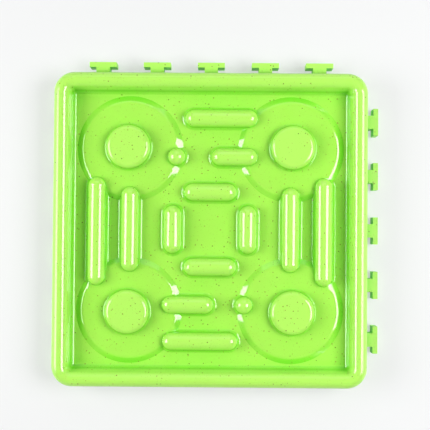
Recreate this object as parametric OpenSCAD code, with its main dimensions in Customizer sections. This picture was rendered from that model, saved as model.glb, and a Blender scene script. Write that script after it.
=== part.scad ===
// Dog lick mat: one moulded square tray with raised bars, domes, plateaus and bosses,
// T tabs on the back and right edges, matching T notches in the front and left skirts,
// and four suction cups whose stems press into sockets inside the hollow bosses.
// Millimetres, +Z up, origin at the middle of the body on the table plane.

/* [Body] */
// Outer width of the square body, over the rim
body_w = 201; // [196:1:230]
// Height from the table to the top of the rim
body_h = 20; // [19:0.5:24]
// Outer corner radius in plan
corner_r = 13; // [12:0.25:18]
// Thickness of every moulded wall
wall = 2; // [1.6:0.1:2.3]
// Height of the basin floor's upper face
floor_z = 8; // [7:0.25:9]
// Draft angle of the raised forms
draft = 8; // [4:1:12]

/* [Rim] */
// Radius of the round crown of the rim
rim_r = 4.9; // [4:0.1:5.2]
// Fillet between the basin wall and the floor
basin_fillet = 3.2; // [1.5:0.1:3.6]
// Draft angle of the basin wall
basin_draft = 16; // [6:1:20]
// How far the crown overhangs the skirt below it
lip_overhang = 1.6; // [1:0.1:2.2]
// Height of the upright edge of the lip
lip_h = 2; // [1:0.25:2.5]

/* [Raised bars and domes] */
// Radius of the rounded tops of the bars and domes
bar_r = 5.7; // [4.5:0.1:6]
// Height of the bars and domes above the floor
bar_h = 8; // [7:0.25:9.5]
// Concave flare where a bar meets the floor
bar_flare = 2.6; // [1:0.1:2.8]
// Distance of the outer upright bars from the edge of the body
outer_bar_inset = 27.4; // [26:0.2:30]
// Offset of the outer upright bars towards the back
outer_bar_y = -1.4; // [-3:0.1:3]
// Length of the outer upright bars
outer_bar_len = 70; // [40:1:74]
// Distance of the middle upright bars from the middle
mid_bar_x = 51.7; // [50:0.1:53]
// Length of the middle upright bars
mid_bar_len = 55; // [30:1:60]
// Distance of the inner upright bars from the middle
inner_bar_x = 24.2; // [22:0.1:28]
// Length of the inner upright bars
inner_bar_len = 31.2; // [20:0.2:34]
// Distance of the inner cross bars from the middle
cross_bar_y = 24.1; // [22:0.1:28]
// Length of the inner cross bars
cross_bar_len = 34; // [20:0.5:36]
// Distance of the long cross bars from the edge of the body
long_bar_inset = 28.7; // [27:0.1:31]
// Offset of the long back bar to the right
long_back_x = 6.9; // [0:0.1:10]
// Length of the long back bar
long_back_len = 47; // [30:0.5:56]
// Offset of the long front bar to the left
long_front_x = 6.2; // [0:0.1:10]
// Length of the long front bar
long_front_len = 48.5; // [30:0.5:56]
// Distance of the short cross bars and the domes from the middle
short_bar_y = 47.7; // [46:0.1:49]
// Offset of the short cross bars and the domes towards the back
short_bar_shift = -0.8; // [-2:0.1:2]
// Offset of the short back bar to the right
short_back_x = 15.4; // [11:0.1:17]
// Length of the short back bar
short_back_len = 30; // [24:0.5:34]
// Offset of the short front bar to the left
short_front_x = 14.2; // [11:0.1:17]
// Length of the short front bar
short_front_len = 33.5; // [24:0.5:34]
// Sideways offset of the domes
dome_x = 22; // [20:0.5:24]

/* [Plateaus and bosses] */
// Distance of each plateau's middle from the nearest edges of the body
plateau_inset = 48.5; // [47:0.1:50]
// Radius of a plateau at the floor
plateau_r = 34.2; // [33:0.1:35]
// Height of a plateau above the floor
plateau_h = 2; // [1.5:0.1:2.6]
// Slope of a plateau's edge
plateau_slope = 27; // [20:1:40]
// Length that a bevel takes from each side of a plateau's upper edge
plateau_bevel = 1.4; // [0.6:0.1:2]
// Distance of each boss's axis from the nearest edges of the body
boss_inset = 47.5; // [46:0.1:49]
// Radius of a boss where its wall meets the plateau
boss_r = 14.5; // [13.5:0.1:16]
// Height of a boss above its plateau
boss_h = 6.2; // [5.5:0.1:7.5]
// Rounding of a boss's upper edge
boss_round = 3; // [2.4:0.1:3.4]
// Concave flare where a boss meets its plateau
boss_flare = 1.7; // [0.5:0.1:2]

/* [Joining tabs] */
// Number of tabs on an edge
tab_count = 5; // [2:1:5]
// Distance from tab to tab
tab_pitch = 35; // [28:0.5:38]
// Height of the tabs
tab_h = 11; // [8:0.25:11.5]
// Width of a tab's neck
tab_neck_w = 8.6; // [6:0.2:10]
// Width of a tab's head
tab_head_w = 17.4; // [14:0.2:20]
// Thickness of a tab's head
tab_head_t = 3.1; // [2:0.1:3.4]
// Play between a tab's head and the skirt of the next mat
tab_play = 0.6; // [0.3:0.1:0.8]
// Clearance of a notch on each side of a neck and above it
notch_clear = 0.4; // [0.2:0.1:0.8]

/* [Suction cups] */
// Diameter of a cup's lip
cup_d = 54; // [40:1:58]
// Thickness of a cup's lip
cup_lip_t = 0.9; // [0.6:0.1:1.2]
// Depth of a cup's hollow
cup_hollow = 3.2; // [2.5:0.1:3.6]
// Diameter of a cup's collar, which seats on the socket
cup_collar_d = 14; // [13:0.5:18]
// Height of a cup's collar
cup_collar_h = 1.4; // [1:0.1:2]
// Diameter of a cup's stem
stem_d = 8; // [6:0.25:9]
// Clearance between a stem and its socket, all round and at the end
stem_clear = 0.1; // [0.05:0.05:0.3]
// Chamfer at the end of a stem
stem_chamfer = 0.8; // [0.4:0.1:1.2]
// Wall of a socket
socket_wall = 2; // [1.5:0.1:2.5]

/* [Hidden] */
$fn = 96;
// Finer steps for the large circle of which a cup's hollow uses a small part
shallow_fn = 720;

half = body_w / 2;
// Distance of the corner axes from the middle lines
corner_xy = half - corner_r;
outer_bar_x = half - outer_bar_inset;
long_bar_y = half - long_bar_inset;
plateau_xy = half - plateau_inset;
boss_xy = half - boss_inset;
plateau_z = floor_z + plateau_h;
boss_top = plateau_z + boss_h;
// Depth by which raised forms run into what carries them
sink = wall / 2;
// Depth by which a flare's arc dips below its floor, so that it ends in a plain edge
flare_dip = 0.05;
// Depth by which a wall's end is tucked into the round beside it, so that they cross in one clean edge
tuck = 0.005;
// How far cuts run past the faces that they open
past = 1;

// Rim section, measured outwards from the corner axis
crown = [corner_r - rim_r, body_h - rim_r];
lip_z = crown[1] - lip_h;
skirt_out = corner_r - lip_overhang;
skirt_in = skirt_out - wall;
basin_n = [-cos(basin_draft), sin(basin_draft)];
fillet_z = floor_z + basin_fillet;
fillet_gap = rim_r + basin_fillet - basin_n[1] * (fillet_z - crown[1]);
fillet = [crown[0] + fillet_gap / basin_n[0], fillet_z];
// Where the section ends on the flat floor, inside the corner axis
floor_end = min(fillet[0], 0) - sink;

// Tabs reach past the lips of two mats and the skirt of the next one
tab_head_in = half + lip_overhang + wall + tab_play;
skirt_half = half - lip_overhang;

// Cups hang from the sockets' ends, which are level with the plateaus' undersides
seat_z = plateau_z - wall;
socket_bore_d = stem_d + 2 * stem_clear;
socket_top = boss_top - wall;

tray_colour = [0.50, 0.63, 0.16];
cup_colour = [0.86, 0.89, 0.86];

// A circle's part in the square of one quarter or half around its middle
module arc_part(at, r, from, to) {
  intersection() {
    translate(at) circle(r);
    translate(at + from) square(to - from);
  }
}

// The rim's outside: basin floor and wall, crown, lip and skirt
module rim_outside() {
  difference() {
    union() {
      polygon([
        [floor_end, 0],
        [skirt_out, 0],
        [skirt_out, lip_z],
        [corner_r, lip_z],
        [corner_r, crown[1]],
        crown,
        crown + (rim_r - tuck) * basin_n,
        fillet - (basin_fillet - tuck) * basin_n,
        fillet,
        [fillet[0], floor_z],
        [floor_end, floor_z],
      ]);
      arc_part(crown, rim_r, [-rim_r, 0], [rim_r, rim_r]);
    }
    translate(fillet) circle(basin_fillet);
  }
}

// The hollow under the floor, behind the basin wall and inside the crown
module rim_hollow() {
  inner_r = rim_r - wall;
  outer_fillet = basin_fillet + wall;
  difference() {
    union() {
      polygon([
        [floor_end - past, -past],
        [skirt_in, -past],
        [skirt_in, crown[1]],
        crown,
        crown + (inner_r - tuck) * basin_n,
        fillet - (outer_fillet - tuck) * basin_n,
        fillet,
        [fillet[0], floor_z - wall],
        [floor_end - past, floor_z - wall],
      ]);
      arc_part(crown, inner_r, [-inner_r, 0], [skirt_in - crown[0], inner_r]);
    }
    translate(fillet) circle(outer_fillet);
  }
}

module rim_section() {
  difference() {
    rim_outside();
    rim_hollow();
  }
}

// The part of the section that turns round a corner axis
module corner_section() {
  intersection() {
    rim_section();
    square([corner_r + past, body_h + past]);
  }
}

// Four straight runs and four corners of one section, round a flat floor. Inside the corner
// axes the runs cross, so the foot of the basin wall meets in a mitre.
module shell() {
  floor_half = corner_xy + floor_end;
  for (side = [0:3])
    rotate(90 * side) {
      translate([corner_xy, corner_xy, 0])
        rotate([90, 0, 0])
          linear_extrude(2 * corner_xy) rim_section();
      translate([corner_xy, corner_xy, 0])
        rotate_extrude(angle = 90) corner_section();
    }
  translate([-floor_half, -floor_half, floor_z - wall])
    cube([2 * floor_half, 2 * floor_half, wall]);
}

// Half of a drafted wall's foot with its concave flare. The wall leans by the draft angle
// through the point top, stands on the level base and is filled down to the level low.
module flare_foot(top, base, low, r) {
  lean = [cos(draft), sin(draft)];
  arc_z = base + r - flare_dip;
  arc = [top[0] + (r - tuck - (arc_z - top[1]) * lean[1]) / lean[0], arc_z];
  difference() {
    polygon([
      [0, low],
      [arc[0], low],
      arc,
      arc - r * lean,
      [0, base],
    ]);
    translate(arc) circle(r);
  }
}

// Half section of a bar: round top, drafted wall and flare, or its hollow if inset is set
module bar_half(inset) {
  r = bar_r - inset;
  low = inset > 0 ? -past : floor_z - sink;
  mid = [0, floor_z + bar_h - bar_r];
  top = mid + (r - tuck) * [cos(draft), sin(draft)];
  polygon([
    [0, low],
    [top[0] + (top[1] - low) * tan(draft), low],
    top,
    mid,
  ]);
  arc_part(mid, r, [0, 0], [r, r]);
  if (inset == 0) flare_foot(top, floor_z, low, bar_flare);
}

// A bar along X with round ends, of the given length over its rounded tops
module bar(length, inset) {
  run = length - 2 * bar_r;
  if (run > 0) {
    rotate([90, 0, 90])
      translate([0, 0, -run / 2])
        linear_extrude(run) {
          bar_half(inset);
          mirror([1, 0, 0]) bar_half(inset);
        }
    for (end = [0, 180])
      rotate(end)
        translate([run / 2, 0, 0])
          rotate(-90)
            rotate_extrude(angle = 180) bar_half(inset);
  } else {
    rotate_extrude() bar_half(inset);
  }
}

// The pattern of bars and domes
module bars(inset) {
  for (side = [-1, 1]) {
    translate([side * outer_bar_x, outer_bar_y, 0]) rotate(90) bar(outer_bar_len, inset);
    translate([side * mid_bar_x, 0, 0]) rotate(90) bar(mid_bar_len, inset);
    translate([side * inner_bar_x, 0, 0]) rotate(90) bar(inner_bar_len, inset);
    translate([0, side * cross_bar_y, 0]) bar(cross_bar_len, inset);
    translate([-side * dome_x, side * short_bar_y + short_bar_shift, 0]) bar(2 * bar_r, inset);
  }
  translate([long_back_x, long_bar_y, 0]) bar(long_back_len, inset);
  translate([-long_front_x, -long_bar_y, 0]) bar(long_front_len, inset);
  translate([short_back_x, short_bar_shift + short_bar_y, 0]) bar(short_back_len, inset);
  translate([-short_front_x, short_bar_shift - short_bar_y, 0]) bar(short_front_len, inset);
}

// A plateau with a softened edge, or the hollow under it if inset is set
module plateau(inset) {
  foot_r = plateau_r - inset * tan(plateau_slope / 2);
  low = inset > 0 ? -past : floor_z - sink;
  base = floor_z - inset;
  edge = [foot_r - plateau_h / tan(plateau_slope), base + plateau_h];
  rotate_extrude()
    polygon([
      [0, low],
      [foot_r, low],
      [foot_r, base],
      edge + plateau_bevel * [cos(plateau_slope), -sin(plateau_slope)],
      edge - [plateau_bevel, 0],
      [0, edge[1]],
    ]);
}

// A boss, or the hollow inside it if inset is set
module boss(inset) {
  round_r = boss_round - inset;
  low = inset > 0 ? -past : plateau_z - sink;
  peak = boss_top - inset;
  lean = [cos(draft), sin(draft)];
  foot_r = boss_r - inset / cos(draft);
  arc_z = peak - round_r;
  arc_x = foot_r - round_r * lean[0] - (arc_z + round_r * lean[1] - plateau_z) * tan(draft);
  arc = [arc_x, arc_z];
  top = arc + (round_r - tuck) * lean;
  rotate_extrude() {
    polygon([
      [0, low],
      [top[0] + (top[1] - low) * tan(draft), low],
      top,
      arc,
      [arc_x, peak],
      [0, peak],
    ]);
    arc_part(arc, round_r, [0, 0], [round_r, round_r]);
    if (inset == 0) flare_foot(top, plateau_z, low, boss_flare);
  }
}

// Everything that repeats in the four quarters, at the same distance from both middle lines
module at_quarters(distance) {
  for (x = [-1, 1], y = [-1, 1])
    translate([x * distance, y * distance, 0]) children();
}

// Offsets of the tabs and notches along an edge
function tab_at(i) = (i - (tab_count - 1) / 2) * tab_pitch;

// One T tab on the right edge
module tab() {
  linear_extrude(tab_h) {
    translate([skirt_half - sink, -tab_neck_w / 2])
      square([tab_head_in - skirt_half + sink + tab_head_t / 2, tab_neck_w]);
    translate([tab_head_in, -tab_head_w / 2])
      square([tab_head_t, tab_head_w]);
  }
}

// One notch through the left skirt, open at the table, for the neck of the next mat's tab
module notch() {
  notch_w = tab_neck_w + 2 * notch_clear;
  translate([-skirt_half - lip_overhang / 2, -notch_w / 2, -past])
    cube([lip_overhang / 2 + wall + past, notch_w, tab_h + notch_clear + past]);
}

// The socket that hangs inside a boss and takes a cup's stem
module socket() {
  difference() {
    translate([0, 0, seat_z])
      cylinder(h = socket_top + sink - seat_z, d = socket_bore_d + 2 * socket_wall);
    translate([0, 0, seat_z - past])
      cylinder(h = socket_top - seat_z + past, d = socket_bore_d);
  }
}

module tray() {
  color(tray_colour) {
    difference() {
      union() {
        shell();
        at_quarters(plateau_xy) plateau(0);
        at_quarters(boss_xy) boss(0);
        bars(0);
        for (edge = [0, 90], i = [0:tab_count - 1])
          rotate(edge) translate([0, tab_at(i), 0]) tab();
      }
      at_quarters(plateau_xy) plateau(wall);
      at_quarters(boss_xy) boss(wall);
      bars(wall);
      for (edge = [0, 90], i = [0:tab_count - 1])
        rotate(edge) translate([0, tab_at(i), 0]) notch();
    }
    at_quarters(boss_xy) socket();
  }
}

// A soft cup pressed flat on the table: lip, cone, collar and stem, with a shallow hollow
module suction_cup(x, y) {
  lip_r = cup_d / 2;
  collar_r = cup_collar_d / 2;
  stem_r = stem_d / 2;
  stem_top = socket_top - stem_clear;
  hollow_edge = lip_r - cup_lip_t;
  hollow_r = (hollow_edge * hollow_edge + cup_hollow * cup_hollow) / (2 * cup_hollow);
  color(cup_colour)
    translate([x * boss_xy, y * boss_xy, 0])
      rotate_extrude()
        difference() {
          polygon([
            [0, 0],
            [lip_r, 0],
            [lip_r, cup_lip_t],
            [collar_r, seat_z - cup_collar_h],
            [collar_r, seat_z],
            [stem_r, seat_z],
            [stem_r, stem_top - stem_chamfer],
            [stem_r - stem_chamfer, stem_top],
            [0, stem_top],
          ]);
          translate([0, cup_hollow - hollow_r]) circle(hollow_r, $fn = shallow_fn);
        }
}

tray();
suction_cup(-1, -1);  // suction_cup_front_left
suction_cup(1, -1);  // suction_cup_front_right
suction_cup(-1, 1);  // suction_cup_back_left
suction_cup(1, 1);  // suction_cup_back_right
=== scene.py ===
# %% [markdown]
# # A dog lick mat
# The real mat is one glossy injection moulding in lime green plastic with dark straw specks: a square tray
# with a rolled rim, low round plateaus, bosses and rounded bars, and T tabs that hook into the next mat.
# Four soft suction cups sit under the plateaus. The tray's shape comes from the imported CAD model, so this
# lesson adds what CAD can't give: finishes, softer cups, light and a camera.

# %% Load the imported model
import math

import bmesh
import bpy
from mathutils import Matrix, Vector


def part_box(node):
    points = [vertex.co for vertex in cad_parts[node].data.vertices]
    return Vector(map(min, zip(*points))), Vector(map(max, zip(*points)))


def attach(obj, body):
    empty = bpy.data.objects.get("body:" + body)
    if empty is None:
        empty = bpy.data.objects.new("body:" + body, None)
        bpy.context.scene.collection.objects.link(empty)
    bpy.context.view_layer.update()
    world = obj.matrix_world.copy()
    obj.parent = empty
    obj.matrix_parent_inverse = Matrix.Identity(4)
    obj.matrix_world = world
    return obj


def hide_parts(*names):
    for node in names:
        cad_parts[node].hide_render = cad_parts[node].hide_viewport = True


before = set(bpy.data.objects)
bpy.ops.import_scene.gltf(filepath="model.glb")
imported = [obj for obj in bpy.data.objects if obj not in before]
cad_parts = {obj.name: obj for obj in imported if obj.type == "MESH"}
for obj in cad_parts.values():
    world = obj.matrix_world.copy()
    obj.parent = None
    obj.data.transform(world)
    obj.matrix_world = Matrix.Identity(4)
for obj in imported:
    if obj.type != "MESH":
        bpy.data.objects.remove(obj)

MM = 0.001

scene = bpy.context.scene
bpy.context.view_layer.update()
print("CAD nodes:", sorted(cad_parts))

# %% [markdown]
# ## Three small helpers
# Colours are written as sRGB hex, as a colour picker shows them, and Blender's shaders want linear light,
# so one function converts. A second one adds a shader node, sets it up and links it, so that each material
# below reads as a list of what it is made of. A third one starts an empty material. A Mix node has sockets
# of one name for each kind of data, so its colour sockets go by number, and the numbers get names here. The
# inputs of a Math node all have one name too, so they go by their place, 0 and 1.

# %% Colour, node and material helpers
MIX_SHARE = 0
MIX_FROM = 6
MIX_TO = 7
MIXED = 2


def linear(hex_colour):
    """Linear RGBA from an sRGB hex colour, by the sRGB curve."""
    shares = [int(hex_colour[i:i + 2], 16) / 255 for i in (1, 3, 5)]
    return [s / 12.92 if s <= 0.04045 else ((s + 0.055) / 1.055) ** 2.4 for s in shares] + [1.0]


def add_node(tree, kind, sockets=None, **settings):
    """One node with its settings, and a value or a link for each socket named."""
    made = tree.nodes.new(kind)
    for name, value in settings.items():
        setattr(made, name, value)
    for name, value in (sockets or {}).items():
        if isinstance(value, bpy.types.NodeSocket):
            tree.links.new(value, made.inputs[name])
        else:
            made.inputs[name].default_value = value
    return made


def new_material(name):
    """An empty node material and its tree."""
    material = bpy.data.materials.new(name)
    material.use_nodes = True
    material.node_tree.nodes.clear()
    return material, material.node_tree


print("mid grey in linear light:", [round(v, 3) for v in linear("#808080")])

# %% [markdown]
# ## The camera
# The photograph looks almost straight down from about 620 mm above the table. The lens and the small tilts
# were found by fitting a pinhole camera to the tray's edges and to the tabs' spacing, so the render lines
# up with the photograph without any shift of the lens.

# %% Camera
EYE = Vector((6.52, -4.36, 620)) * MM
FOCAL_PIXELS = 946.4
FRAME_PIXELS = 430
SENSOR_WIDTH = 36
PITCH, YAW, ROLL = (math.radians(a) for a in (1.298, 0.323, 0.445))

camera_data = bpy.data.cameras.new("overhead_camera")
camera_data.sensor_width = SENSOR_WIDTH
camera_data.lens = SENSOR_WIDTH * FOCAL_PIXELS / FRAME_PIXELS
camera = bpy.data.objects.new("overhead_camera", camera_data)
scene.collection.objects.link(camera)
tilt = Matrix.Rotation(PITCH, 4, "X") @ Matrix.Rotation(YAW, 4, "Y") @ Matrix.Rotation(ROLL, 4, "Z")
camera.matrix_world = Matrix.Translation(EYE) @ tilt
scene.camera = camera
print("lens:", round(camera_data.lens, 2), "mm")

# %% [markdown]
# ## Speckled polypropylene
# The tray is polypropylene with milled straw in it, shot into a polished mould. That gives the eye three
# things: a bright, slightly translucent lime body colour, olive and tan specks up to a millimetre wide that
# sit at all depths, and a smooth gloss that shows each lamp as a clean line along the bars. The body colour
# could be one flat green. The real one drifts a little where the plastic flowed, so a soft noise with a
# grain of some 30 mm mixes two close limes.

# %% Body colour
LIME_LIGHT = "#AFF25A"
LIME_DEEP = "#A8EE52"
FLOW_SIZE = 30 * MM

speckled_pp, tree = new_material("speckled_polypropylene")
place = add_node(tree, "ShaderNodeTexCoord").outputs["Object"]
flow = add_node(tree, "ShaderNodeTexNoise", {"Vector": place, "Scale": 1 / FLOW_SIZE, "Detail": 3.0})
body = add_node(tree, "ShaderNodeMix", {
    MIX_SHARE: flow.outputs["Fac"],
    MIX_FROM: linear(LIME_DEEP),
    MIX_TO: linear(LIME_LIGHT),
}, data_type="RGBA")
print("body colour:", LIME_DEEP, "to", LIME_LIGHT)

# %% [markdown]
# ## Painted shade on slopes beside a wall
# The plateaus' slopes and the feet of the bars are painted a deeper green, most of all beside the rim:
# this is painted shade, not a colour of the plastic. Bounced light alone gives too little of that. An
# ambient occlusion node measures how much of the sky a point sees past the walls within 12 mm. A face
# that leans by more than about 12 degrees is painted deeper, fully where a wall is near and a little in
# the open.

# %% Slopes, painted shade
LIME_PAINTED_SLOPE_SHADE = "#8AE438"
FLAT_LEAN = math.radians(12)
STEEP_LEAN = math.radians(26)
SKY_REACH = 12 * MM
SKY_RAYS = 8
SLOPE_SKY_OPEN = 0.95
SLOPE_SKY_WALLED = 0.7
OPEN_SLOPE_SHARE = 0.3

sky = add_node(tree, "ShaderNodeAmbientOcclusion", {"Distance": SKY_REACH},
               samples=SKY_RAYS, only_local=True)
facing = add_node(tree, "ShaderNodeNewGeometry")
upward = add_node(tree, "ShaderNodeSeparateXYZ", {0: facing.outputs["Normal"]})
steep = add_node(tree, "ShaderNodeMapRange", {
    "Value": upward.outputs["Z"],
    "From Min": math.cos(FLAT_LEAN),
    "From Max": math.cos(STEEP_LEAN),
}, interpolation_type="SMOOTHSTEP")
walled = add_node(tree, "ShaderNodeMapRange", {
    "Value": sky.outputs["AO"],
    "From Min": SLOPE_SKY_OPEN,
    "From Max": SLOPE_SKY_WALLED,
    "To Min": OPEN_SLOPE_SHARE,
})
slope_shade_share = add_node(tree, "ShaderNodeMath", {0: steep.outputs[0], 1: walled.outputs[0]}, operation="MULTIPLY")
# Painted shade: leaning faces are mixed towards a deeper green, most where walls are near.
slope_shaded = add_node(tree, "ShaderNodeMix", {
    MIX_SHARE: slope_shade_share.outputs[0],
    MIX_FROM: body.outputs[MIXED],
    MIX_TO: linear(LIME_PAINTED_SLOPE_SHADE),
}, data_type="RGBA")
print("slopes deepen from", [round(math.degrees(lean)) for lean in (FLAT_LEAN, STEEP_LEAN)], "degrees")

# %% [markdown]
# ## Painted light on raised forms
# The rim, the bars and the bosses are painted paler than the floor, as painted light: the body colour
# turns paler with height, and so it does on the flat tops of the tabs, which stand free outside the rim.
# A helper measures how far out a point lies, to tell the tabs from the tray.

# %% Raised forms and tabs, painted light
LIME_PAINTED_LIGHT = "#BAFA66"
PAINTED_LIGHT_LOW = 10.5 * MM
PAINTED_LIGHT_HIGH = 14.5 * MM
TAB_EDGE = 100.6 * MM
TAB_BLEND = 0.6 * MM


def square_reach(tree, place):
    """How far a point lies from the middle of the mat, measured squarely: the larger of its x and y."""
    parts = add_node(tree, "ShaderNodeSeparateXYZ", {0: place})
    across = add_node(tree, "ShaderNodeMath", {0: parts.outputs["X"]}, operation="ABSOLUTE")
    along = add_node(tree, "ShaderNodeMath", {0: parts.outputs["Y"]}, operation="ABSOLUTE")
    larger = add_node(tree, "ShaderNodeMath", {0: across.outputs[0], 1: along.outputs[0]},
                      operation="MAXIMUM")
    return larger.outputs[0]


height = add_node(tree, "ShaderNodeSeparateXYZ", {0: place})
height_light_share = add_node(tree, "ShaderNodeMapRange", {
    "Value": height.outputs["Z"],
    "From Min": PAINTED_LIGHT_LOW,
    "From Max": PAINTED_LIGHT_HIGH,
}, interpolation_type="SMOOTHSTEP")
way_out = square_reach(tree, place)
outside = add_node(tree, "ShaderNodeMapRange", {
    "Value": way_out,
    "From Min": TAB_EDGE,
    "From Max": TAB_EDGE + TAB_BLEND,
})
tab_top = add_node(tree, "ShaderNodeMath", {0: outside.outputs[0], 1: steep.outputs[0]},
                   operation="SUBTRACT")
painted_light_share = add_node(tree, "ShaderNodeMath", {0: height_light_share.outputs[0], 1: tab_top.outputs[0]}, operation="MAXIMUM")
# Painted light: raised forms and the tabs' tops are mixed towards a paler lime.
with_painted_light = add_node(tree, "ShaderNodeMix", {
    MIX_SHARE: painted_light_share.outputs[0],
    MIX_FROM: slope_shaded.outputs[MIXED],
    MIX_TO: linear(LIME_PAINTED_LIGHT),
}, data_type="RGBA")
print("paler from", round(PAINTED_LIGHT_LOW / MM, 1), "to", round(PAINTED_LIGHT_HIGH / MM, 1), "mm above the table")

# %% [markdown]
# ## Painted shade in troughs
# The troughs beside the rim and the feet of close walls see less of the sky than the open floor does, and
# they are painted the deepest green of all, as painted shade. The same measure of the sky leads that shade.

# %% Troughs, painted shade
LIME_PAINTED_TROUGH_SHADE = "#6ED62C"
TROUGH_SHADE_SHARE = 0.65
CORNER_SKY_OPEN = 0.85
CORNER_SKY_CLOSED = 0.4

trough_shade_share = add_node(tree, "ShaderNodeMapRange", {
    "Value": sky.outputs["AO"],
    "From Min": CORNER_SKY_OPEN,
    "From Max": CORNER_SKY_CLOSED,
    "To Max": TROUGH_SHADE_SHARE,
})
# Painted shade: enclosed places are mixed towards a deeper green.
with_trough_shade = add_node(tree, "ShaderNodeMix", {
    MIX_SHARE: trough_shade_share.outputs[0],
    MIX_FROM: with_painted_light.outputs[MIXED],
    MIX_TO: linear(LIME_PAINTED_TROUGH_SHADE),
}, data_type="RGBA")
print("troughs lean towards", LIME_PAINTED_TROUGH_SHADE)

# %% [markdown]
# ## Straw specks
# Specks could be painted on or scattered as geometry. Here they are small balls in a solid cell pattern:
# the surface cuts through them wherever it lies, as it does through the real flakes. A fine noise pushes
# the pattern about, which makes their edges ragged. Each cell's random colour says whether it has a speck,
# how large it is and whether it is olive or tan.

# %% Specks
SPECK_CELL = 2.8 * MM
SPECK_RADIUS = 0.42 * MM
SPECK_RAGGED = 0.6 * MM
SPECK_SHARE = 0.75
SPECK_SMALLEST = 0.5
SPECK_LARGEST = 1.2
SPECK_CORE = 0.6
STRAW_OLIVE = "#5C8A20"
STRAW_TAN = "#90902E"
NOISE_MIDDLE = (0.5, 0.5, 0.5)

ragged = add_node(tree, "ShaderNodeTexNoise", {"Vector": place, "Scale": 1 / SPECK_RAGGED, "Detail": 2.0})
centred = add_node(tree, "ShaderNodeVectorMath", {0: ragged.outputs["Color"], 1: NOISE_MIDDLE},
                   operation="SUBTRACT")
pushed = add_node(tree, "ShaderNodeVectorMath", {0: centred.outputs[0], "Scale": SPECK_RAGGED},
                  operation="SCALE")
torn_place = add_node(tree, "ShaderNodeVectorMath", {0: place, 1: pushed.outputs[0]}, operation="ADD")

cells = add_node(tree, "ShaderNodeTexVoronoi", {"Vector": torn_place.outputs[0], "Scale": 1 / SPECK_CELL})
dice = add_node(tree, "ShaderNodeSeparateColor", {"Color": cells.outputs["Color"]})
size = add_node(tree, "ShaderNodeMapRange", {
    "Value": dice.outputs["Blue"],
    "To Min": SPECK_SMALLEST,
    "To Max": SPECK_LARGEST,
})
distance = add_node(tree, "ShaderNodeMath", {0: cells.outputs["Distance"], 1: size.outputs[0]},
                    operation="DIVIDE")
ball = add_node(tree, "ShaderNodeMapRange", {
    "Value": distance.outputs[0],
    "From Min": SPECK_RADIUS / SPECK_CELL,
    "From Max": SPECK_CORE * SPECK_RADIUS / SPECK_CELL,
}, interpolation_type="SMOOTHSTEP")
there = add_node(tree, "ShaderNodeMath", {0: dice.outputs["Red"], 1: SPECK_SHARE}, operation="LESS_THAN")
speck = add_node(tree, "ShaderNodeMath", {0: ball.outputs[0], 1: there.outputs[0]}, operation="MULTIPLY")
straw = add_node(tree, "ShaderNodeMix", {
    MIX_SHARE: dice.outputs["Green"],
    MIX_FROM: linear(STRAW_OLIVE),
    MIX_TO: linear(STRAW_TAN),
}, data_type="RGBA")
specked = add_node(tree, "ShaderNodeMix", {
    MIX_SHARE: speck.outputs[0],
    MIX_FROM: with_trough_shade.outputs[MIXED],
    MIX_TO: straw.outputs[MIXED],
}, data_type="RGBA")
print("specks up to", round(2 * SPECK_LARGEST * SPECK_RADIUS / MM, 1), "mm wide")

# %% [markdown]
# ## Straw dust
# Between the specks lies finer dust of the same straw, too small to see grain by grain. A second, closer
# cell pattern draws it faintly, a little coarser than it is so that it shows in the render.

# %% Dust
DUST_CELL = 1.5 * MM
DUST_RADIUS = 0.28 * MM
DUST_CORE = 0.5
DUST_STRENGTH = 0.3
DUST_COLOUR = "#6A7A1E"

grains = add_node(tree, "ShaderNodeTexVoronoi", {"Vector": torn_place.outputs[0], "Scale": 1 / DUST_CELL})
dust = add_node(tree, "ShaderNodeMapRange", {
    "Value": grains.outputs["Distance"],
    "From Min": DUST_RADIUS / DUST_CELL,
    "From Max": DUST_CORE * DUST_RADIUS / DUST_CELL,
    "To Max": DUST_STRENGTH,
}, interpolation_type="SMOOTHSTEP")
dusted = add_node(tree, "ShaderNodeMix", {
    MIX_SHARE: dust.outputs[0],
    MIX_FROM: specked.outputs[MIXED],
    MIX_TO: linear(DUST_COLOUR),
}, data_type="RGBA")
print("colour nodes in", speckled_pp.name, ":", len(tree.nodes))

# %% [markdown]
# ## The moulded gloss
# A polished mould leaves a nearly mirror-smooth skin. Two faint things keep it from looking like glass: the
# gloss varies a little where the plastic flowed, and the walls sink by a few hundredths of a millimetre as
# they cool, which makes the lines of light waver. Both come from soft noise, the second one through a bump.
# Moulds are polished where the food goes. The outer flank of the rim is duller, so its line of light is
# soft, and the sides of the tabs are duller still, so they stay dark green instead of mirroring the floor.
# The refractive index starts from that of the plastic, about 1.5, and is raised until the lines of light
# are as white as on the real mat. A little light scatters under the skin, green the furthest.

# %% Gloss of the moulding
GLOSS_FINEST = 0.06
GLOSS_COARSEST = 0.10
TAB_ROUGHNESS = 0.5
RIM_ROUGHNESS = 0.32
RIM_EDGE = 96.2 * MM
RIM_BLEND = 0.8 * MM
WAVE_SIZE = 16 * MM
WAVE_DEPTH = 0.05 * MM
PP_IOR = 1.75
PP_SCATTER = 0.15
PP_SCATTER_SHARES = (0.5, 1.0, 0.2)
PP_SCATTER_DEPTH = 1.2 * MM

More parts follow.
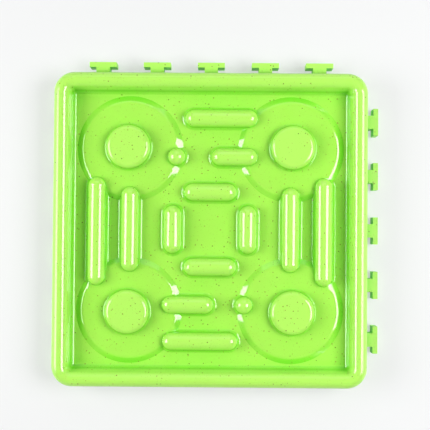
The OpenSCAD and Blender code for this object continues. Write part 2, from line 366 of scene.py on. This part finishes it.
gloss = add_node(tree, "ShaderNodeMapRange", {
    "Value": flow.outputs["Fac"],
    "To Min": GLOSS_FINEST,
    "To Max": GLOSS_COARSEST,
})
tab_side = add_node(tree, "ShaderNodeMath", {0: outside.outputs[0], 1: steep.outputs[0]},
                    operation="MULTIPLY")
dull = add_node(tree, "ShaderNodeMapRange", {"Value": tab_side.outputs[0], "To Max": TAB_ROUGHNESS})
rim_side = add_node(tree, "ShaderNodeMapRange", {
    "Value": way_out,
    "From Min": RIM_EDGE,
    "From Max": RIM_EDGE + RIM_BLEND,
    "To Max": RIM_ROUGHNESS,
})
flank = add_node(tree, "ShaderNodeMath", {0: rim_side.outputs[0], 1: dull.outputs[0]}, operation="MAXIMUM")
rough = add_node(tree, "ShaderNodeMath", {0: gloss.outputs[0], 1: flank.outputs[0]}, operation="MAXIMUM")
wave = add_node(tree, "ShaderNodeTexNoise", {"Vector": place, "Scale": 1 / WAVE_SIZE, "Detail": 1.0})
sink = add_node(tree, "ShaderNodeBump", {
    "Height": wave.outputs["Fac"],
    "Strength": 1.0,
    "Distance": WAVE_DEPTH,
})
skin = add_node(tree, "ShaderNodeBsdfPrincipled", {
    "Base Color": dusted.outputs[MIXED],
    "Roughness": rough.outputs[0],
    "IOR": PP_IOR,
    "Normal": sink.outputs[0],
    "Subsurface Weight": PP_SCATTER,
    "Subsurface Radius": PP_SCATTER_SHARES,
    "Subsurface Scale": PP_SCATTER_DEPTH,
})
add_node(tree, "ShaderNodeOutputMaterial", {"Surface": skin.outputs[0]})
print("gloss added:", len(tree.nodes), "nodes")

# %% [markdown]
# ## The tray
# The CAD tray keeps its shape, and only its shading is refined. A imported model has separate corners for
# each CAD face, which breaks a highlight where a round runs into a flat. Welding those corners and
# splitting only real edges lets the light run smoothly through. Giving the larger face its say at each
# corner keeps the slopes of the plateaus flat, so that each one mirrors a lamp as one clean patch, and the
# narrow bevels turn.

# %% Tray finish
EDGE_ANGLE = math.radians(20)
WELD_GAP = 0.002 * MM
SAME_AREA = 0.001 * MM * MM
BIG_FACES_FIRST = 60

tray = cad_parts["tray"]
tray.data.materials.clear()
tray.data.materials.append(speckled_pp)
weld = tray.modifiers.new("join_faces", "WELD")
weld.merge_threshold = WELD_GAP
split = tray.modifiers.new("keep_edges", "EDGE_SPLIT")
split.split_angle = EDGE_ANGLE
shade = tray.modifiers.new("even_shading", "WEIGHTED_NORMAL")
shade.weight = BIG_FACES_FIRST
shade.thresh = SAME_AREA
print("tray triangles:", len(tray.data.polygons))

# %% [markdown]
# ## Milky silicone
# The cups are silicone rubber, moulded in one piece. That gives the eye a milky white with a cool tinge,
# soft because light scatters a few millimetres deep, under a satin skin. Transmission could make it clearer,
# but scattering alone gives the milk. Faint clouds of some 6 mm vary the tone and the satin.

# %% Silicone
CLOUD_SIZE = 6 * MM
MILK_SHADE = "#DDE6DF"
MILK_LIGHT = "#F0F4EF"
SATIN_FINEST = 0.22
SATIN_COARSEST = 0.36
SILICONE_IOR = 1.41
SILICONE_SCATTER = 0.7
SILICONE_SCATTER_SHARES = (1.0, 1.0, 1.0)
SILICONE_SCATTER_DEPTH = 2 * MM

silicone, tree = new_material("milky_silicone")
place = add_node(tree, "ShaderNodeTexCoord").outputs["Object"]
cloud = add_node(tree, "ShaderNodeTexNoise", {"Vector": place, "Scale": 1 / CLOUD_SIZE, "Detail": 1.0})
milk = add_node(tree, "ShaderNodeMix", {
    MIX_SHARE: cloud.outputs["Fac"],
    MIX_FROM: linear(MILK_SHADE),
    MIX_TO: linear(MILK_LIGHT),
}, data_type="RGBA")
satin = add_node(tree, "ShaderNodeMapRange", {
    "Value": cloud.outputs["Fac"],
    "To Min": SATIN_FINEST,
    "To Max": SATIN_COARSEST,
})
soft = add_node(tree, "ShaderNodeBsdfPrincipled", {
    "Base Color": milk.outputs[MIXED],
    "Roughness": satin.outputs[0],
    "IOR": SILICONE_IOR,
    "Subsurface Weight": SILICONE_SCATTER,
    "Subsurface Radius": SILICONE_SCATTER_SHARES,
    "Subsurface Scale": SILICONE_SCATTER_DEPTH,
})
add_node(tree, "ShaderNodeOutputMaterial", {"Surface": soft.outputs[0]})
print("silicone ready:", silicone.name)

# %% [markdown]
# ## Suction cups
# Under each plateau sits a soft cup, pressed flat on the table with its stem in the boss. The CAD cup is a
# plain turned solid. The real one has a thin rolled lip, a flank that curves in and a few fine sealing
# rings inside, so each cup is turned again here from a finer section. The section's sizes are in
# millimetres, and the heights are above the table.

# %% Cup section
LIP_R = 27.0
LIP_T = 0.9
HOLLOW = 3.2
COLLAR_R = 7.0
COLLAR_LOW = 6.6
SEAT = 8.0
STEM_R = 4.0
STEM_TOP = 14.1
CHAMFER = 0.8
EDGE_BREAK = 0.3
FLANK_DIP = 0.7
RINGS = (16.5, 19.5, 22.5)
RING_H = 0.5
RING_W = 0.5
LEAST_LIFT = 0.02
HOLLOW_STEPS = 60
LIP_STEPS = 8
FLANK_STEPS = 20


def cup_section():
    """Points (radius, height) in mm from the middle of the hollow round the lip to the top of the stem."""
    points = []
    hollow_edge = LIP_R - LIP_T
    for i in range(HOLLOW_STEPS + 1):
        r = hollow_edge * i / HOLLOW_STEPS
        z = HOLLOW * (1 - (r / hollow_edge) ** 2)
        ring = max(math.exp(-((r - ring_r) / RING_W) ** 2) for ring_r in RINGS)
        points.append((r, max(z - RING_H * ring, LEAST_LIFT)))
    lip_round = LIP_T / 2
    lip_middle = LIP_R - lip_round
    for i in range(1, LIP_STEPS):
        a = math.pi * (i / LIP_STEPS - 0.5)
        points.append((lip_middle + lip_round * math.cos(a), lip_round + lip_round * math.sin(a)))
    for i in range(FLANK_STEPS + 1):
        t = i / FLANK_STEPS
        r = lip_middle + (COLLAR_R - lip_middle) * t
        z = LIP_T + (COLLAR_LOW - LIP_T) * t - FLANK_DIP * math.sin(math.pi * t)
        points.append((r, z))
    points += [(COLLAR_R, SEAT - EDGE_BREAK), (COLLAR_R - EDGE_BREAK, SEAT)]
    points += [(STEM_R + EDGE_BREAK, SEAT), (STEM_R, SEAT + EDGE_BREAK)]
    points += [(STEM_R, STEM_TOP - CHAMFER), (STEM_R - CHAMFER, STEM_TOP), (0.0, STEM_TOP)]
    return points


section = cup_section()
print("cup section:", len(section), "points")

# %% [markdown]
# ## Turning the cups
# A Screw modifier could turn the section too. Turned here, point by point, it gives one closed mesh: each
# point of the section becomes a ring of corners, or a single one on the axis, and faces close the gaps
# between the rings.

# %% Turned cups
TURN_STEPS = 96
CUP_EDGE_ANGLE = math.radians(40)


def turned_cup(name, middle):
    """A closed mesh turned from the cup's section about an upright axis."""
    mesh = bpy.data.meshes.new(name)
    work = bmesh.new()
    turns = [2 * math.pi * k / TURN_STEPS for k in range(TURN_STEPS)]
    rows = []
    for r, z in section:
        around = turns if r > 0 else [0.0]
        rows.append([work.verts.new((r * MM * math.cos(a), r * MM * math.sin(a), z * MM)) for a in around])
    for low, high in zip(rows, rows[1:]):
        for k in range(TURN_STEPS):
            corners = [low[k % len(low)], low[(k + 1) % len(low)]]
            corners += [high[(k + 1) % len(high)], high[k % len(high)]]
            face = work.faces.new(list(dict.fromkeys(corners)))
            face.smooth = True
    bmesh.ops.recalc_face_normals(work, faces=work.faces)
    work.to_mesh(mesh)
    work.free()
    cup = bpy.data.objects.new(name, mesh)
    cup.location = middle
    scene.collection.objects.link(cup)
    cup.data.materials.append(silicone)
    sharp = cup.modifiers.new("keep_edges", "EDGE_SPLIT")
    sharp.split_angle = CUP_EDGE_ANGLE
    return cup


for node in sorted(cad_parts):
    if not node.startswith("suction_cup"):
        continue
    low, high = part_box(node)
    cup = turned_cup(node + "_silicone", Vector(((low.x + high.x) / 2, (low.y + high.y) / 2, low.z)))
    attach(cup, "root")
    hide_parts(node)
    print(cup.name, "at", [round(v / MM, 1) for v in cup.location])

# %% [markdown]
# ## The floor
# The mat lies on a floor of matt white paint, which a faint mottle keeps from looking empty. More lamps
# could make it white, but they would bleach the mat. So what the camera and mirroring surfaces see of it is
# partly plain white, and the mat's shadow stays as light as in a bright room. Under the mat it is paint
# alone, and the notches look into the dark.

# %% Floor
FLOOR_GAP = 0.1 * MM
FLOOR_SIDE = 10.0
MOTTLE_SIZE = 250 * MM
PAINT_SHADE = "#F6F8F8"
PAINT_LIGHT = "#FCFDFD"
PAINT_ROUGHNESS = 0.6
MAT_HALF = 99 * MM
MAT_BLEND = 1 * MM
WHITE = "#FFFFFF"
WHITE_SHARE = 0.6
WHITE_STRENGTH = 0.85


def seen_directly(tree):
    """1 for a ray from the camera, from a mirroring surface or through a clear one, and 0 for the rest."""
    rays = add_node(tree, "ShaderNodeLightPath")
    mirrored = add_node(tree, "ShaderNodeMath", {
        0: rays.outputs["Is Camera Ray"],
        1: rays.outputs["Is Glossy Ray"],
    }, operation="MAXIMUM")
    seen = add_node(tree, "ShaderNodeMath", {
        0: mirrored.outputs[0],
        1: rays.outputs["Is Transmission Ray"],
    }, operation="MAXIMUM")
    return seen.outputs[0]


floor_paint, tree = new_material("white_floor_paint")
place = add_node(tree, "ShaderNodeTexCoord").outputs["Object"]
mottle = add_node(tree, "ShaderNodeTexNoise", {"Vector": place, "Scale": 1 / MOTTLE_SIZE, "Detail": 2.0})
tone = add_node(tree, "ShaderNodeMix", {
    MIX_SHARE: mottle.outputs["Fac"],
    MIX_FROM: linear(PAINT_SHADE),
    MIX_TO: linear(PAINT_LIGHT),
}, data_type="RGBA")
paint = add_node(tree, "ShaderNodeBsdfPrincipled", {
    "Base Color": tone.outputs[MIXED],
    "Roughness": PAINT_ROUGHNESS,
})
white = add_node(tree, "ShaderNodeEmission", {"Color": linear(WHITE), "Strength": WHITE_STRENGTH})
open_floor = add_node(tree, "ShaderNodeMapRange", {
    "Value": square_reach(tree, place),
    "From Min": MAT_HALF,
    "From Max": MAT_HALF + MAT_BLEND,
    "To Max": WHITE_SHARE,
})
share = add_node(tree, "ShaderNodeMath", {0: seen_directly(tree), 1: open_floor.outputs[0]},
                 operation="MULTIPLY")
lit = add_node(tree, "ShaderNodeMixShader", {0: share.outputs[0], 1: paint.outputs[0], 2: white.outputs[0]})
add_node(tree, "ShaderNodeOutputMaterial", {"Surface": lit.outputs[0]})
bpy.ops.mesh.primitive_plane_add(size=FLOOR_SIDE, location=(0, 0, -FLOOR_GAP))
floor = bpy.context.object
floor.name = "white_floor"
floor.data.materials.append(floor_paint)
print("floor:", FLOOR_SIDE, "m square")

# %% [markdown]
# ## Soft boxes
# Two soft boxes stand on the left and on the right of the mat, at 57.5 and 43 degrees from straight up.
# They draw two white lines along each upright bar and the small patches on the plateaus' slopes. A dim panel
# at the back lifts the far sides. Point lamps could light it too, but they would draw dots and hard shadows.

# %% Soft boxes
BOX_DISTANCE = 0.9
# Width and length in metres, tilts from straight up to the right and to the back in degrees, radiance
SOFT_BOXES = {
    "left": (0.42, 0.60, -57.5, 0, 8.0),
    "right": (0.46, 0.60, 43, 0, 8.3),
    "back": (0.80, 0.40, 0, 50, 0.8),
}

for side, (width, length, right, back, radiance) in SOFT_BOXES.items():
    data = bpy.data.lights.new("soft_box_" + side, "AREA")
    data.shape = "RECTANGLE"
    data.size = width
    data.size_y = length
    data.energy = radiance * math.pi * width * length
    lamp = bpy.data.objects.new(data.name, data)
    turn = Matrix.Rotation(math.radians(right), 4, "Y") @ Matrix.Rotation(math.radians(-back), 4, "X")
    lamp.matrix_world = turn @ Matrix.Translation((0, 0, BOX_DISTANCE))
    scene.collection.objects.link(lamp)
    print(lamp.name, round(data.energy, 2), "W at", [round(v, 2) for v in lamp.matrix_world.translation])

# %% [markdown]
# ## The room
# A dim room fills the rest, so the troughs stay dark. Low down it shows a backdrop of about the far floor's
# tone, so that no dark band stands behind the floor in a view from the side. A wall of geometry could do
# that too, but it would throw light. This backdrop shows only to the camera and in what mirrors it.

# %% Room
ROOM_COLOUR = "#F4F7FA"
ROOM_STRENGTH = 0.1
BACKDROP_STRENGTH = 0.63
BACKDROP_TOP = math.sin(math.radians(14))
BACKDROP_FULL = math.sin(math.radians(8))

room = bpy.data.worlds.new("pale_room")
room.use_nodes = True
tree = room.node_tree
tree.nodes.clear()
toward = add_node(tree, "ShaderNodeTexCoord").outputs["Generated"]
rise = add_node(tree, "ShaderNodeSeparateXYZ", {0: toward})
low_wall = add_node(tree, "ShaderNodeMapRange", {
    "Value": rise.outputs["Z"],
    "From Min": BACKDROP_TOP,
    "From Max": BACKDROP_FULL,
    "To Max": BACKDROP_STRENGTH - ROOM_STRENGTH,
}, interpolation_type="SMOOTHSTEP")
backdrop = add_node(tree, "ShaderNodeMath", {0: seen_directly(tree), 1: low_wall.outputs[0]},
                    operation="MULTIPLY")
strength = add_node(tree, "ShaderNodeMath", {0: backdrop.outputs[0], 1: ROOM_STRENGTH}, operation="ADD")
fill = add_node(tree, "ShaderNodeBackground", {
    "Color": linear(ROOM_COLOUR),
    "Strength": strength.outputs[0],
})
add_node(tree, "ShaderNodeOutputWorld", {"Surface": fill.outputs[0]})
scene.world = room
scene.view_settings.view_transform = "Standard"
print("room strength:", ROOM_STRENGTH, "backdrop strength:", BACKDROP_STRENGTH)
